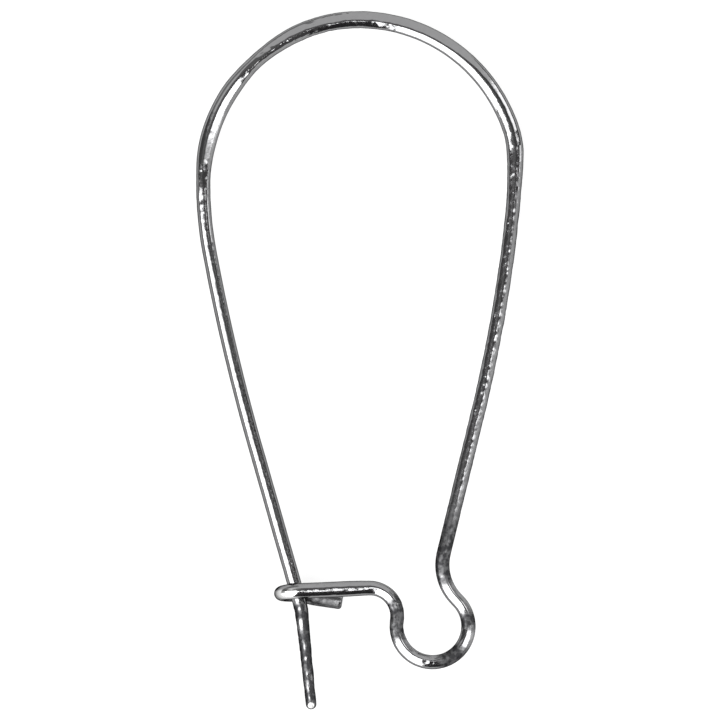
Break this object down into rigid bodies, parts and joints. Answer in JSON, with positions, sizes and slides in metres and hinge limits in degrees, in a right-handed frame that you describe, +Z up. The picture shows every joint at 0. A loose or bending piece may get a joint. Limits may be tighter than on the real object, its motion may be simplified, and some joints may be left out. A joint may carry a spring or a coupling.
{
  "type": "kidney ear wire",
  "caption": "Kidney-shaped earring wire: the straight post passes through the ear lobe and latches in a bent catch, and a small loop carries a drop.",
  "frame": {"origin": "middle of the wire's outline, seen from above, on the surface that it lies on", "axes": "+Z up from the surface; +Y along the kidney to its arch; +X to the side of the drop loop"},
  "size_m": [0.0155, 0.033, 0.0024],
  "materials": {
    "polished_plate": "polished silver-tone plate with fine handling marks"
  },
  "bodies": {
    "root": {"ear_wire": "polished_plate"}
  },
  "joints": []
}
